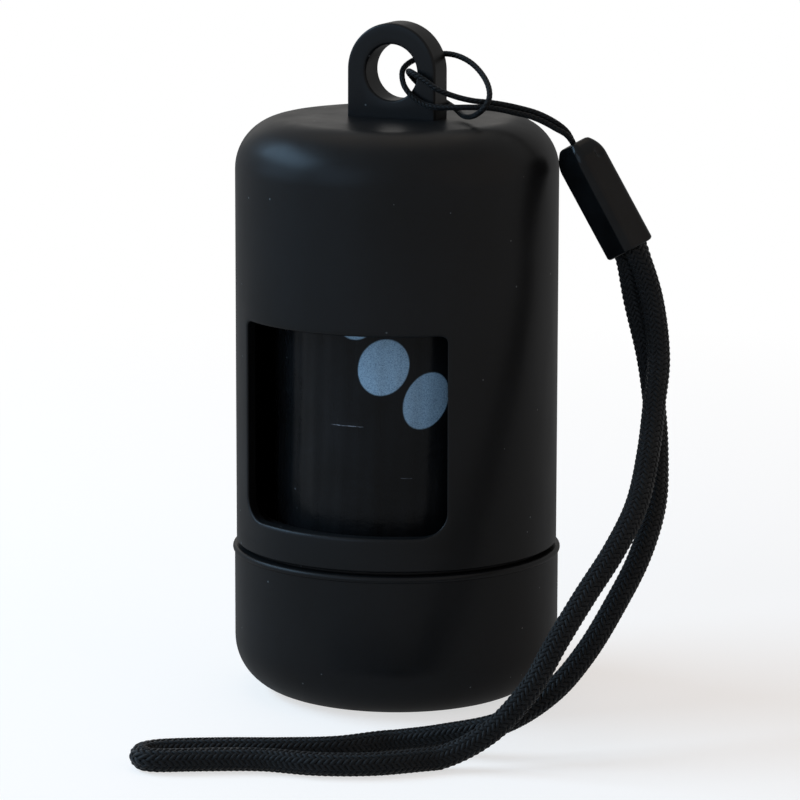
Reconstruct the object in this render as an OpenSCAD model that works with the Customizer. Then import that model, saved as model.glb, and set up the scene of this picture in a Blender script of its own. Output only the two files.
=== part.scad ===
// Bag dispenser: a tube with a window lifts off a push-on base cap, round a roll of
// small bags on a core. A thin cord is hitched through the lug on the tube's roof and
// carries a ferrule, which grips both ends of a braided wrist loop.
// Millimetres. The cap stands on z = 0, the tube's axis is Z and the window faces -Y.

/* [Bag roll] */
// Diameter of the wound bags
roll_d = 31.1; // [28:0.1:33]
// Width of the roll, along its core
roll_w = 64; // [56:1:66]
// Outside diameter of the core tube
core_d = 10.8; // [9:0.2:14]
// Wall of the core tube
core_wall = 1.2; // [0.8:0.1:2]
// Rounding of the roll's two ends
roll_edge = 0.8; // [0.2:0.1:2]
// Thickness of the folded bag that lies outermost
bag_ply = 0.3; // [0.2:0.05:0.5]
// Angle round the roll that the outermost bag leaves bare
wrap_gap = 15; // [5:5:40]
// How far the outermost bag stays back from the roll's ends
wrap_inset = 0.8; // [0:0.1:3]

/* [Base cap] */
// Height of the cap's outside, up to the seam
cap_h = 19.3; // [14:0.1:24]
// How far the cap stands proud of the tube, all round
cap_proud = 0.25; // [0:0.05:0.6]
// Rounding under the cap
cap_fillet = 7; // [3:0.5:9]
// Thickness of the cap's floor
cap_floor = 2; // [1.5:0.1:3]
// Rounding inside the cap, between wall and floor
cap_inner_fillet = 3; // [1:0.25:4]
// Radius of the bead round the cap's top edge
bead_r = 0.45; // [0.25:0.05:0.8]
// How far the bead stands out of the cap
bead_proud = 0.25; // [0.1:0.05:0.3]
// Height of the seam groove between cap and tube
seam_h = 0.45; // [0.2:0.05:1]
// Depth of the seam groove
seam_depth = 0.8; // [0.3:0.1:1.3]
// Height of the neck that the tube pushes over
neck_h = 4; // [2.5:0.1:4.3]
// Wall of the neck
neck_wall = 1.65; // [1.2:0.05:2.4]
// Gap all round between neck and tube
neck_clearance = 0.15; // [0.1:0.05:0.3]
// Lead-in on the neck's top edge and in the tube's rim
lead_in = 0.4; // [0.2:0.05:0.8]
// Room all round between the roll and the neck
roll_room = 1.5; // [0.8:0.1:3]

/* [Spigot] */
// Height of the spigot above the seat of the roll
spigot_h = 9; // [5:0.5:14]
// Running gap all round between spigot and core
spigot_clearance = 0.1; // [0.05:0.01:0.1]
// Bore down the middle of the spigot
spigot_bore_d = 4.2; // [2:0.1:5]
// Rounding of the spigot's tip
spigot_tip = 0.8; // [0.3:0.1:1]
// Height of the seat above the cap's floor
seat_h = 1.5; // [0.8:0.1:3]
// How far the seat reaches out under the core
seat_w = 3.9; // [2:0.1:6]

/* [Tube] */
// Wall of the tube
shell_wall = 1.8; // [1.4:0.1:2.4]
// Thickness of the roof
roof_t = 1.8; // [1.4:0.1:2.6]
// Rounding between wall and roof
shoulder_r = 6.7; // [3:0.1:9]
// Room between the roll and the roof
headroom = 6.2; // [3:0.2:10]
// Bevel on the outside of the tube's rim
rim_bevel = 0.25; // [0.1:0.05:0.4]

/* [Window] */
// Width of the window, straight across
window_w = 28; // [16:0.5:34]
// Height of the window
window_h = 25.9; // [16:0.1:34]
// Height of the sill above the tube's rim
sill_rise = 4.45; // [4.1:0.05:10]
// Rounding of the window's two lower corners
window_foot_corner = 3; // [0.5:0.1:6]
// Rounding of the window's two upper corners
window_top_corner = 0.8; // [0.3:0.1:6]

/* [Lug] */
// Width of the lug
lug_w = 12.4; // [10.5:0.1:14]
// Thickness of the lug
lug_t = 4.1; // [2.5:0.1:4.2]
// Height of the lug above the roof
lug_h = 12.25; // [11:0.05:16]
// Diameter of the lug's hole
lug_hole_d = 7.25; // [4:0.25:8]
// How far the hole sits below the centre of the lug's arch
lug_hole_drop = 0.15; // [0:0.05:0.8]
// Rounding of the lug's edges and of the hole's rims
lug_round = 0.35; // [0.2:0.05:0.9]

/* [Ferrule] */
// Length of the ferrule
ferrule_l = 15.4; // [12:0.2:20]
// Width of the ferrule, across its two strands
ferrule_w = 5.5; // [5.5:0.1:6.2]
// Depth of the ferrule
ferrule_d = 5; // [4.8:0.1:5.4]
// Rounding of its long edges
ferrule_edge = 1.2; // [0.3:0.1:1.5]
// Radius of the shoulders by which its sides draw in to the upper end
ferrule_shoulder_r = 4.5; // [3.4:0.1:6]
// How far each side has drawn in at the upper end
ferrule_draw_in = 1.05; // [0.6:0.05:1.1]
// Rounding of its lower end
ferrule_foot = 0.4; // [0.2:0.1:0.8]
// Depth of the pocket that grips the braid
pocket_depth = 2.5; // [1.5:0.1:4]
// Wall left round the pocket
pocket_wall = 0.55; // [0.4:0.05:0.55]
// Rounding of the pocket's corners
pocket_corner = 0.8; // [0.3:0.1:1.2]
// Depth of the bore that takes the thin cord
cord_bore_depth = 1.5; // [1:0.1:3]
// Gap all round between that bore and the two cord ends in it
cord_bore_clearance = 0.15; // [0.05:0.05:0.2]
// Diameter of the shallow dimple in the side that looks out
dimple_d = 1.5; // [0.8:0.1:2]
// Depth of the dimple
dimple_depth = 0.25; // [0.1:0.05:0.4]
// How far the dimple's middle sits below the upper end
dimple_drop = 2.4; // [2:0.1:6]
// How far the dimple's middle sits off the side's centre line
dimple_aside = 0.9; // [0:0.1:1]
// How far the ferrule leans out from the tube, in degrees
ferrule_tilt = 29.5; // [25:0.5:40]
// Which way it leans, in degrees from +X
ferrule_turn = 10.5; // [0:0.5:20]
// Turn about its own length, in degrees
ferrule_roll = -37.5; // [-60:0.5:0]
// How far its upper end hangs out from the tube
ferrule_out = 2.4; // [2.3:0.1:4]
// How far its upper end sits to the back
ferrule_back = 3; // [2:0.1:4]
// How far its upper end hangs below the roof's top
ferrule_drop = 2.6; // [2:0.1:4]

/* [Cords] */
// Thickness of the braid
braid_d = 2.9; // [2.4:0.1:3]
// Thickness of the braid where the ferrule squeezes it
braid_grip_d = 2.1; // [1.6:0.1:2.1]
// Distance between the two squeezed strands
braid_pitch = 2.2; // [2.15:0.05:2.25]
// Thickness of the thin cord
cord_d = 0.75; // [0.5:0.05:0.78]
// Distance between the thin cord's two ends in the ferrule
cord_pitch = 0.84; // [0.82:0.02:1]
// Direction across the ferrule's top in which the cord's two ends lie side by side
cord_ends_turn = 140; // [120:5:160]

/* [Hidden] */
$fn = 96;
// Cutters reach this far past what they cut
past = 1;
// Gap that keeps the wound plies of one roll apart
ply_gap = 0.05;

// From the roll outwards: its core, the bags, the cap's neck and the tube
core_r = core_d / 2;
core_bore_r = core_r - core_wall;
bag_r = roll_d / 2 + ply_gap;
neck_bore_r = bag_r + bag_ply + roll_room;
neck_r = neck_bore_r + neck_wall;
shell_bore_r = neck_r + neck_clearance;
shell_r = shell_bore_r + shell_wall;
cap_r = shell_r + cap_proud;

// From the floor upwards: the roll's seat, the tube's rim, the window and the roof
seat_z = cap_floor + seat_h;
roll_top = seat_z + roll_w;
ceiling_z = roll_top + headroom;
roof_z = ceiling_z + roof_t;
rim_z = cap_h + seam_h;
neck_top = rim_z + neck_h;
sill_z = rim_z + sill_rise;
lug_arch_z = roof_z + lug_h - lug_w / 2;
lug_hole_z = lug_arch_z - lug_hole_drop;

spigot_r = core_bore_r - spigot_clearance;
seat_r = spigot_r + seat_w;

ferrule_top = [shell_r + ferrule_out, ferrule_back, roof_z - ferrule_drop];
// Length over which the ferrule's sides draw in
draw_in_l = sqrt(2 * ferrule_shoulder_r * ferrule_draw_in - ferrule_draw_in * ferrule_draw_in);
cord_bore_r = (cord_pitch + cord_d) / 2 + cord_bore_clearance;
// Radius of the ball that leaves the dimple
dimple_ball_r = (dimple_d * dimple_d / 4 + dimple_depth * dimple_depth) / (2 * dimple_depth);

// Half section of a solid of revolution, rounded round its top edge
module rounded_top_2d(r, low, high, fillet) {
    translate([0, low]) square([r, high - fillet - low]);
    translate([0, low]) square([r - fillet, high - low]);
    translate([r - fillet, high - fillet]) circle(fillet);
}

// Half section of a solid of revolution, rounded round its bottom edge
module rounded_foot_2d(r, low, high, fillet) {
    translate([0, low + fillet]) square([r, high - low - fillet]);
    translate([0, low]) square([r - fillet, high - low]);
    translate([r - fillet, low + fillet]) circle(fillet);
}

// A rectangle about the origin, with round corners
module rounded_rect_2d(w, h, corner) {
    square([w - 2 * corner, h], center = true);
    square([w, h - 2 * corner], center = true);
    for (x = [-1, 1], y = [-1, 1])
        translate([x * (w / 2 - corner), y * (h / 2 - corner)]) circle(corner);
}

// ---- Base cap ----

// Outside of the cap up to the seam, with the bead round its top edge
module cap_body_2d() {
    rounded_foot_2d(cap_r, 0, cap_h, cap_fillet);
    translate([cap_r + bead_proud - bead_r, cap_h - bead_r]) circle(bead_r);
}

// Seat that carries the tube's rim, and the neck with its lead-in above it
module neck_2d() {
    translate([0, cap_h - past]) square([shell_r - seam_depth, seam_h + past]);
    difference() {
        translate([0, rim_z - past]) square([neck_r, neck_h + past]);
        translate([neck_r, neck_top]) rotate(45) square(lead_in * sqrt(2), center = true);
    }
}

// Spigot and the seat round its foot, on which the roll stands
module spigot_2d() {
    translate([0, cap_floor - past]) square([seat_r, seat_h + past]);
    rounded_top_2d(spigot_r, cap_floor, seat_z + spigot_h, spigot_tip);
}

module base_cap() {
    color([0.11, 0.12, 0.13])
    rotate_extrude() {
        intersection() {
            difference() {
                union() {
                    difference() {
                        union() {
                            cap_body_2d();
                            neck_2d();
                        }
                        rounded_foot_2d(neck_bore_r, cap_floor, neck_top + past, cap_inner_fillet);
                    }
                    spigot_2d();
                }
                translate([0, cap_floor]) square([spigot_bore_d / 2, seat_z + spigot_h]);
            }
            square([cap_r + bead_proud, neck_top]);
        }
    }
}

// ---- Roll of bags ----

module roll_core() {
    color([0.62, 0.55, 0.44])
    translate([0, 0, seat_z])
    difference() {
        cylinder(r = core_r, h = roll_w);
        translate([0, 0, -past]) cylinder(r = core_bore_r, h = roll_w + 2 * past);
    }
}

module bag_roll() {
    inner = core_r + ply_gap;
    color([0.10, 0.11, 0.12])
    translate([0, 0, seat_z + roll_w / 2])
    rotate_extrude()
    translate([(inner + roll_d / 2) / 2, 0])
    rounded_rect_2d(roll_d / 2 - inner, roll_w, roll_edge);
}

// Outermost bag, close round the roll, with its free edge at the back
module leading_bag() {
    color([0.13, 0.14, 0.16])
    translate([0, 0, seat_z + wrap_inset])
    rotate(90 + wrap_gap / 2)
    rotate_extrude(angle = 360 - wrap_gap)
    translate([bag_r, 0]) square([bag_ply, roll_w - 2 * wrap_inset]);
}

// ---- Tube with its window and lug ----

module tube_wall() {
    rotate_extrude()
    difference() {
        rounded_top_2d(shell_r, rim_z, roof_z, shoulder_r);
        rounded_top_2d(shell_bore_r, rim_z - past, ceiling_z, shoulder_r - shell_wall);
        translate([shell_bore_r, rim_z]) rotate(45) square(lead_in * sqrt(2), center = true);
        translate([shell_r, rim_z]) rotate(45) square(rim_bevel * sqrt(2), center = true);
    }
}

// Upright plate with round edges, closed by a disc that makes its arch
module lug() {
    translate([0, 0, ceiling_z + roof_t / 2])
    linear_extrude(lug_arch_z - ceiling_z - roof_t / 2)
    rounded_rect_2d(lug_w, lug_t, lug_round);
    translate([0, 0, lug_arch_z])
    rotate([90, 0, 0])
    rotate_extrude()
    intersection() {
        rounded_rect_2d(lug_w, lug_t, lug_round);
        translate([0, -lug_t]) square([lug_w, 2 * lug_t]);
    }
}

// Half section of the hole's cutter, flared where it meets one face of the lug
module flared_bore_2d() {
    r = lug_hole_d / 2;
    square([r, lug_t / 2 + past]);
    difference() {
        translate([0, lug_t / 2 - lug_round]) square([r + lug_round, lug_round + past]);
        translate([r + lug_round, lug_t / 2 - lug_round]) circle(lug_round);
    }
}

module lug_hole() {
    translate([0, 0, lug_hole_z])
    rotate([90, 0, 0])
    rotate_extrude() {
        flared_bore_2d();
        mirror([0, 1]) flared_bore_2d();
    }
}

// Outline of the window, which stands on the origin: softer corners at the foot than on top
module window_2d() {
    foot = window_foot_corner;
    top = window_top_corner;
    translate([-window_w / 2, foot]) square([window_w, window_h - foot - top]);
    translate([foot - window_w / 2, 0]) square([window_w - 2 * foot, window_h / 2]);
    translate([top - window_w / 2, window_h / 2]) square([window_w - 2 * top, window_h / 2]);
    for (x = [-1, 1]) {
        translate([x * (window_w / 2 - foot), foot]) circle(foot);
        translate([x * (window_w / 2 - top), window_h - top]) circle(top);
    }
}

module window_hole() {
    translate([0, 0, sill_z])
    rotate([90, 0, 0])
    linear_extrude(shell_r + past)
    window_2d();
}

module upper_shell() {
    color([0.12, 0.12, 0.13])
    difference() {
        union() {
            tube_wall();
            lug();
        }
        window_hole();
        lug_hole();
    }
}

// ---- Ferrule and cords ----

// Side view of the ferrule, which hangs down from the origin: its sides draw in to the
// upper end in two arcs, and its lower end is rounded
module ferrule_side_2d(w) {
    intersection() {
        translate([-w / 2, -draw_in_l]) square([w, draw_in_l]);
        translate([w / 2 - ferrule_shoulder_r, -draw_in_l]) circle(ferrule_shoulder_r);
        translate([ferrule_shoulder_r - w / 2, -draw_in_l]) circle(ferrule_shoulder_r);
    }
    translate([-w / 2, -ferrule_l + ferrule_foot]) square([w, ferrule_l - ferrule_foot - draw_in_l]);
    translate([-w / 2 + ferrule_draw_in, -ferrule_l / 2]) square([w - 2 * ferrule_draw_in, ferrule_l / 2]);
    translate([-w / 2 + ferrule_foot, -ferrule_l]) square([w - 2 * ferrule_foot, ferrule_l / 2]);
    for (x = [-1, 1])
        translate([x * (w / 2 - ferrule_foot), ferrule_foot - ferrule_l]) circle(ferrule_foot);
}

// Bar with round edges and ends: three rounded views, cut from each other
module ferrule_bar() {
    intersection() {
        translate([0, 0, -ferrule_l])
        linear_extrude(ferrule_l) rounded_rect_2d(ferrule_w, ferrule_d, ferrule_edge);
        translate([0, ferrule_d / 2, 0])
        rotate([90, 0, 0]) linear_extrude(ferrule_d) ferrule_side_2d(ferrule_w);
        translate([-ferrule_w / 2, 0, 0])
        rotate([90, 0, 90]) linear_extrude(ferrule_w) ferrule_side_2d(ferrule_d);
    }
}

// Pocket in the lower end, in which the two squeezed strands lie side by side
module braid_pocket() {
    translate([0, 0, -ferrule_l - past])
    linear_extrude(pocket_depth + past)
    rounded_rect_2d(ferrule_w - 2 * pocket_wall, ferrule_d - 2 * pocket_wall, pocket_corner);
}

module ferrule() {
    color([0.09, 0.09, 0.10])
    translate(ferrule_top)
    rotate([0, -ferrule_tilt, ferrule_turn])
    rotate([0, 0, ferrule_roll])
    difference() {
        ferrule_bar();
        braid_pocket();
        translate([0, 0, -cord_bore_depth]) cylinder(r = cord_bore_r, h = cord_bore_depth + past);
        translate([ferrule_w / 2 + dimple_ball_r - dimple_depth, dimple_aside, -dimple_drop])
        sphere(dimple_ball_r);
    }
}

// Where a point of the ferrule's own frame lies, moved by the same turns as the ferrule
function turn_z(p, a) = [p.x * cos(a) - p.y * sin(a), p.x * sin(a) + p.y * cos(a), p.z];
function turn_y(p, a) = [p.x * cos(a) + p.z * sin(a), p.y, p.z * cos(a) - p.x * sin(a)];
function ferrule_point(p) =
    ferrule_top + turn_z(turn_y(turn_z(p, ferrule_roll), -ferrule_tilt), ferrule_turn);

// A cord is a tube with this many sides, which has one ring square to its route at each point
cord_sides = 8;
function unit(v) = v / norm(v);
function along(route, i) = unit(route[min(i + 1, len(route) - 1)] - route[max(i - 1, 0)]);
// Direction across the route at each point, carried on from the one before without twist
function across(route, last, i = 0) =
    i == len(route) ? [] :
    let (t = along(route, i), side = unit(last - (last * t) * t))
    concat([side], across(route, side, i + 1));

module swept_cord(route, radii) {
    rings = len(route);
    side = across(route, cross(along(route, 0), [0, 0, 1]));
    corners = [
        for (i = [0:rings - 1], k = [0:cord_sides - 1])
            let (a = 360 * k / cord_sides, up = cross(along(route, i), side[i]))
            route[i] + radii[i] * (cos(a) * side[i] + sin(a) * up)
    ];
    walls = [
        for (i = [0:rings - 2], k = [0:cord_sides - 1])
            let (here = cord_sides * i, there = here + cord_sides, next = (k + 1) % cord_sides)
            [here + k, there + k, there + next, here + next]
    ];
    first = [for (k = [0:cord_sides - 1]) k];
    last = [for (k = [cord_sides - 1:-1:0]) cord_sides * (rings - 1) + k];
    polyhedron(points = corners, faces = concat([first], walls, [last]));
}

// Thin cord, each height counted from the roof's top: from the ferrule to the lug, in
// through the hole, behind the lug, round both strands, and back out to the ferrule
hitch_out = [
    [22.8, 2.1, -1.4], [21.6, 1.5, -0.6], [20.1, 0.8, 0.3], [18.5, 0.1, 1], [16.7, -0.9, 1.5],
    [15, -1.6, 1.9], [13.3, -2.3, 2.1], [11.5, -2.8, 2.1], [9.4, -3.1, 2], [7.1, -3.2, 1.9],
    [5, -2.9, 2.2], [3.3, -2.7, 3.1], [1.9, -2.2, 4.5], [1, -0.5, 6.1], [1.4, 1.6, 7.1]
];
hitch_turn = [
    [3.1, 2.6, 7.7], [5.2, 2.7, 8.1], [7.3, 2.4, 8], [9.5, 1.5, 7.4], [11.4, 0.4, 6.4],
    [13, -0.9, 5.1], [14, -2.4, 3.8], [14, -3.4, 2.6], [12.9, -3.3, 1.5], [11.2, -2.1, 0.8],
    [9.4, -0.4, 0.7], [7.6, 1.5, 1.2], [5.5, 2.8, 1.9], [3.5, 2.9, 2.8], [1.9, 2.4, 4.1]
];
hitch_back = [
    [1.5, 0.6, 5.5], [2.2, -1.2, 6.1], [3.6, -2.7, 6], [5.4, -3.2, 5.2], [7.3, -3.4, 4.2],
    [9.4, -2.9, 3.4], [11.6, -2.3, 2.9], [13.6, -1.6, 2.7], [15.4, -0.8, 2.4], [17.2, 0.1, 1.95],
    [18.9, 1, 1.4], [20.4, 1.6, 0.7], [21.7, 2.3, -0.2], [22.6, 2.9, -1.2]
];

module hitch_cord() {
    end = cord_pitch / 2 * [cos(cord_ends_turn), sin(cord_ends_turn), 0];
    deep = [0, 0, -cord_bore_depth];
    route = concat(
        [ferrule_point(deep - end), ferrule_point(-end)],
        [for (p = concat(hitch_out, hitch_turn, hitch_back)) p + [0, 0, roof_z]],
        [ferrule_point(end), ferrule_point(deep + end)]
    );
    color([0.10, 0.10, 0.11])
    swept_cord(route, [for (p = route) cord_d / 2]);
}

// Wrist loop: down the front strand, over the floor to the fold, and back up the rear strand
braid_down = [
    [34, 4, 53.5], [36, 1.5, 46.5], [37, -2.5, 41], [38, -7, 35.5], [38.5, -12, 30],
    [37.5, -17, 25], [35.6, -22, 20], [33.7, -26.2, 15], [31.6, -30, 9.5], [27.7, -33.5, 4.5]
];
braid_floor = [
    [22.3, -37.2, 1.5], [16.5, -42.5, 1.5], [10, -45.5, 1.5], [3, -46.5, 1.5], [-3.5, -49.5, 1.5],
    [-8.6, -52.2, 1.5], [-10.8, -51.8, 1.5], [-11.4, -49.8, 1.5], [-9.6, -47.5, 1.5], [-3.5, -44, 1.5],
    [3, -41, 1.5], [9, -37.5, 1.5], [14, -32, 1.5]
];
braid_up = [
    [20, -30, 2.5], [27.3, -28.3, 4.5], [32.3, -24.8, 8], [35.3, -20.8, 12.5], [37.5, -16.5, 18],
    [39, -12, 23.5], [39, -7, 29], [37.5, -2.5, 34.5], [35.5, 1.5, 40], [33.5, 4, 46], [31, 5.5, 53]
];

module wrist_loop() {
    mouth = [braid_pitch / 2, 0, -ferrule_l];
    rear = [-braid_pitch, 0, 0];
    deep = [0, 0, pocket_depth];
    free = concat(braid_down, braid_floor, braid_up);
    route = concat(
        [ferrule_point(mouth + deep), ferrule_point(mouth)],
        free,
        [ferrule_point(mouth + rear), ferrule_point(mouth + rear + deep)]
    );
    gripped = [braid_grip_d / 2, braid_grip_d / 2];
    color([0.09, 0.09, 0.10])
    swept_cord(route, concat(gripped, [for (p = free) braid_d / 2], gripped));
}

base_cap();
roll_core();
bag_roll();
leading_bag();
upper_shell();
hitch_cord();
ferrule();
wrist_loop();
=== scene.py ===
import math

import bpy
import numpy as np
from mathutils import Matrix, Vector


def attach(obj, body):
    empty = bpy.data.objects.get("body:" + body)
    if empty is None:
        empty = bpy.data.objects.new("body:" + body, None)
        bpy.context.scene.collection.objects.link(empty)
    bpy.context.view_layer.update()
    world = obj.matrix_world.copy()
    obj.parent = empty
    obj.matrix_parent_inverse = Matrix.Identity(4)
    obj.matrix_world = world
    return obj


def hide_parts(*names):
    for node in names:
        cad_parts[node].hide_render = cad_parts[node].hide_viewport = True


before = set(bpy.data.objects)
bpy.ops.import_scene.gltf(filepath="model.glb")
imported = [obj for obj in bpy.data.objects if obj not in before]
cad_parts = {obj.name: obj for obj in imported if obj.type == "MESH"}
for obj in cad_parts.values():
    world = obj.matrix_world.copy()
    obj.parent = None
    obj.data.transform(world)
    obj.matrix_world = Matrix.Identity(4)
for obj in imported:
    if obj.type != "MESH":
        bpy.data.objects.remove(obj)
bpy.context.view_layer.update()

# Sizes below are millimetres, as in the CAD source; MM turns them into metres.
MM = 0.001

# ---- Sizes shared with the CAD source ----
SHELL_R = 21.0
SHELL_BORE_R = 19.2
CAP_R = 21.25
CAP_H = 19.3
CAP_FILLET = 7.0
BEAD_R = 0.45
BEAD_PROUD = 0.25
RIM_Z = 19.75
SEAM_R = 20.2
NECK_R = 19.05
NECK_BORE_R = 17.4
NECK_TOP = 23.75
SEAT_Z = 3.5
CEILING_Z = 73.7
ROOF_Z = 75.5
SHOULDER_R = 6.7
WINDOW_W = 28.0
WINDOW_H = 25.9
SILL_Z = 24.2
CORNER_FOOT = 3.0
CORNER_TOP = 0.8
LUG_W = 12.4
LUG_T = 4.1
LUG_ARCH_Z = 81.55
LUG_HOLE_Z = 81.4
LUG_HOLE_R = 3.625
ROLL_LOW = 3.5
ROLL_HIGH = 67.5
ROLL_R = 15.55
CORE_R = 5.4
FERRULE_TOP = (23.4, 3.0, 72.9)
FERRULE_L = 15.4
FERRULE_W = 5.5
FERRULE_D = 5.0
FERRULE_TILT = 29.5
FERRULE_TURN = 10.5
FERRULE_ROLL = -37.5
BRAID_PITCH = 2.2
CORD_D = 0.75
CORD_PITCH = 0.84
# The braid's radius when loose, and its two widths' shares where the ferrule holds it
LOOP_R = 1.5
LOOP_GRIP = (0.71, 1.25)

# ---- Camera, fitted to the photograph ----
VIEW_AZIMUTH = 24.4
VIEW_ELEVATION = 10.661
VIEW_DISTANCE = 584.4
# A height on the tube's axis, how far right of it and below it the picture's middle falls,
# and the picture's small tilt
VIEW_HEIGHT = 40.0
VIEW_SIDE = 0.43
VIEW_BELOW = 1.8
VIEW_ROLL = 0.0018
LENS = 201.1
SENSOR = 36
CLIP_START = 0.01
CLIP_END = 20


def set_camera():
    """The camera, at the front right and a little above."""
    azimuth = math.radians(VIEW_AZIMUTH)
    elevation = math.radians(VIEW_ELEVATION)
    right = Vector((math.cos(azimuth), math.sin(azimuth), 0))
    back = Vector((
        math.sin(azimuth) * math.cos(elevation),
        -math.cos(azimuth) * math.cos(elevation),
        math.sin(elevation),
    ))
    up = back.cross(right)
    axis = Vector((0, 0, VIEW_HEIGHT))
    place = axis + back * VIEW_DISTANCE
    target = axis + right * VIEW_SIDE - up * VIEW_BELOW
    back = (place - target).normalized()
    right = up.cross(back).normalized()
    up = back.cross(right)
    right, up = right + up * VIEW_ROLL, up - right * VIEW_ROLL
    turn = Matrix((right.normalized(), up.normalized(), back)).transposed()
    data = bpy.data.cameras.new("camera")
    data.lens = LENS
    data.sensor_width = SENSOR
    data.clip_start = CLIP_START
    data.clip_end = CLIP_END
    camera = bpy.data.objects.new("camera", data)
    camera.matrix_world = Matrix.Translation(place * MM) @ turn.to_4x4()
    bpy.context.scene.collection.objects.link(camera)
    bpy.context.scene.camera = camera


# ---- Mesh helpers ----

# A radius below this counts as a point on the axis
ON_AXIS = 1e-6
# How far the normals follow the larger faces, from 1 to 100
FACE_WEIGHT = 80


def add_mesh(name, verts, faces, material, body, replaced):
    """A smooth piece from points in mm, which rides on a body and stands for a CAD node."""
    mesh = bpy.data.meshes.new(name)
    mesh.from_pydata((np.asarray(verts) * MM).tolist(), [], [list(f) for f in faces])
    mesh.validate()
    mesh.materials.append(material)
    mesh.polygons.foreach_set("use_smooth", [True] * len(mesh.polygons))
    piece = bpy.data.objects.new(name, mesh)
    bpy.context.scene.collection.objects.link(piece)
    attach(piece, body)
    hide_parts(replaced)
    return piece


def even_normals(piece, sharp_angle=50):
    """Keeps broad faces flat in their shading and creases only the sharp edges."""
    piece.data.set_sharp_from_angle(angle=math.radians(sharp_angle))
    normals = piece.modifiers.new("even_normals", "WEIGHTED_NORMAL")
    normals.keep_sharp = True
    normals.weight = FACE_WEIGHT


def arc(x, y, r, start, end, steps):
    """Points on an arc about (x, y), with its angles in degrees."""
    angles = [math.radians(start + (end - start) * i / steps) for i in range(steps + 1)]
    return [(x + r * math.cos(a), y + r * math.sin(a)) for a in angles]


def line(start, end, steps):
    """Points from start up to, but without, end."""
    return [
        tuple(start[k] + (end[k] - start[k]) * i / steps for k in (0, 1))
        for i in range(steps)
    ]


def spaced(start, end, steps):
    """Evenly spaced values from start to end, with both."""
    return [start + (end - start) * i / steps for i in range(steps + 1)]


def turned(r, z, turns):
    """Points round the axis at one radius and height, which start at -Y."""
    angles = [2 * math.pi * k / turns for k in range(turns)]
    return [(r * math.sin(a), -r * math.cos(a), z) for a in angles]


def join_rings(faces, a, b):
    """Adds the quads between two closed rings of vertex numbers."""
    count = len(a)
    for k in range(count):
        n = (k + 1) % count
        faces.append((a[k], a[n], b[n], b[k]))


def revolve(profile, turns):
    """Turns a profile of (radius, height) from axis to axis about Z: vertices, faces, and the
    vertex numbers of each row. Faces look outwards where the profile starts at the foot."""
    verts, faces, rows = [], [], []
    for r, z in profile:
        if r < ON_AXIS:
            rows.append([len(verts)] * turns)
            verts.append((0, 0, z))
            continue
        rows.append(list(range(len(verts), len(verts) + turns)))
        verts += turned(r, z, turns)
    for low, high in zip(rows, rows[1:]):
        for k in range(turns):
            n = (k + 1) % turns
            corners = [low[k], low[n], high[n], high[k]]
            faces.append(list(dict.fromkeys(corners)))
    return verts, faces, rows


def revolve_ring(profile, turns):
    """Vertices and faces of a closed profile that stays off the axis and runs outwards over
    the top and down."""
    verts, faces = [], []
    for r, z in profile:
        verts += turned(r, z, turns)
    rows = [list(range(i * turns, (i + 1) * turns)) for i in range(len(profile))]
    for i, row in enumerate(rows):
        join_rings(faces, rows[(i + 1) % len(rows)], row)
    return verts, faces


# ---- Cord routes, the same points as in the CAD source ----

HITCH_OUT = [
    (22.8, 2.1, -1.4), (21.6, 1.5, -0.6), (20.1, 0.8, 0.3), (18.5, 0.1, 1), (16.7, -0.9, 1.5),
    (15, -1.6, 1.9), (13.3, -2.3, 2.1), (11.5, -2.8, 2.1), (9.4, -3.1, 2), (7.1, -3.2, 1.9),
    (5, -2.9, 2.2), (3.3, -2.7, 3.1), (1.9, -2.2, 4.5), (1, -0.5, 6.1), (1.4, 1.6, 7.1),
]
HITCH_TURN = [
    (3.1, 2.6, 7.7), (5.2, 2.7, 8.1), (7.3, 2.4, 8), (9.5, 1.5, 7.4), (11.4, 0.4, 6.4),
    (13, -0.9, 5.1), (14, -2.4, 3.8), (14, -3.4, 2.6), (12.9, -3.3, 1.5), (11.2, -2.1, 0.8),
    (9.4, -0.4, 0.7), (7.6, 1.5, 1.2), (5.5, 2.8, 1.9), (3.5, 2.9, 2.8), (1.9, 2.4, 4.1),
]
HITCH_BACK = [
    (1.5, 0.6, 5.5), (2.2, -1.2, 6.1), (3.6, -2.7, 6), (5.4, -3.2, 5.2), (7.3, -3.4, 4.2),
    (9.4, -2.9, 3.4), (11.6, -2.3, 2.9), (13.6, -1.6, 2.7), (15.4, -0.8, 2.4), (17.2, 0.1, 1.95),
    (18.9, 1, 1.4), (20.4, 1.6, 0.7), (21.7, 2.3, -0.2), (22.6, 2.9, -1.2),
]
BRAID_DOWN = [
    (34, 4, 53.5), (36, 1.5, 46.5), (37, -2.5, 41), (38, -7, 35.5), (38.5, -12, 30),
    (37.5, -17, 25), (35.6, -22, 20), (33.7, -26.2, 15), (31.6, -30, 9.5), (27.7, -33.5, 4.5),
]
BRAID_FLOOR = [
    (22.3, -37.2, 1.5), (16.5, -42.5, 1.5), (10, -45.5, 1.5), (3, -46.5, 1.5),
    (-3.5, -49.5, 1.5), (-8.6, -52.2, 1.5), (-10.8, -51.8, 1.5), (-11.4, -49.8, 1.5),
    (-9.6, -47.5, 1.5), (-3.5, -44, 1.5), (3, -41, 1.5), (9, -37.5, 1.5), (14, -32, 1.5),
]
BRAID_UP = [
    (20, -30, 2.5), (27.3, -28.3, 4.5), (32.3, -24.8, 8), (35.3, -20.8, 12.5), (37.5, -16.5, 18),
    (39, -12, 23.5), (39, -7, 29), (37.5, -2.5, 34.5), (35.5, 1.5, 40), (33.5, 4, 46),
    (31, 5.5, 53),
]
CORD_BORE_DEPTH = 1.5
CORD_ENDS_TURN = 140
POCKET_DEPTH = 2.5
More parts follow.
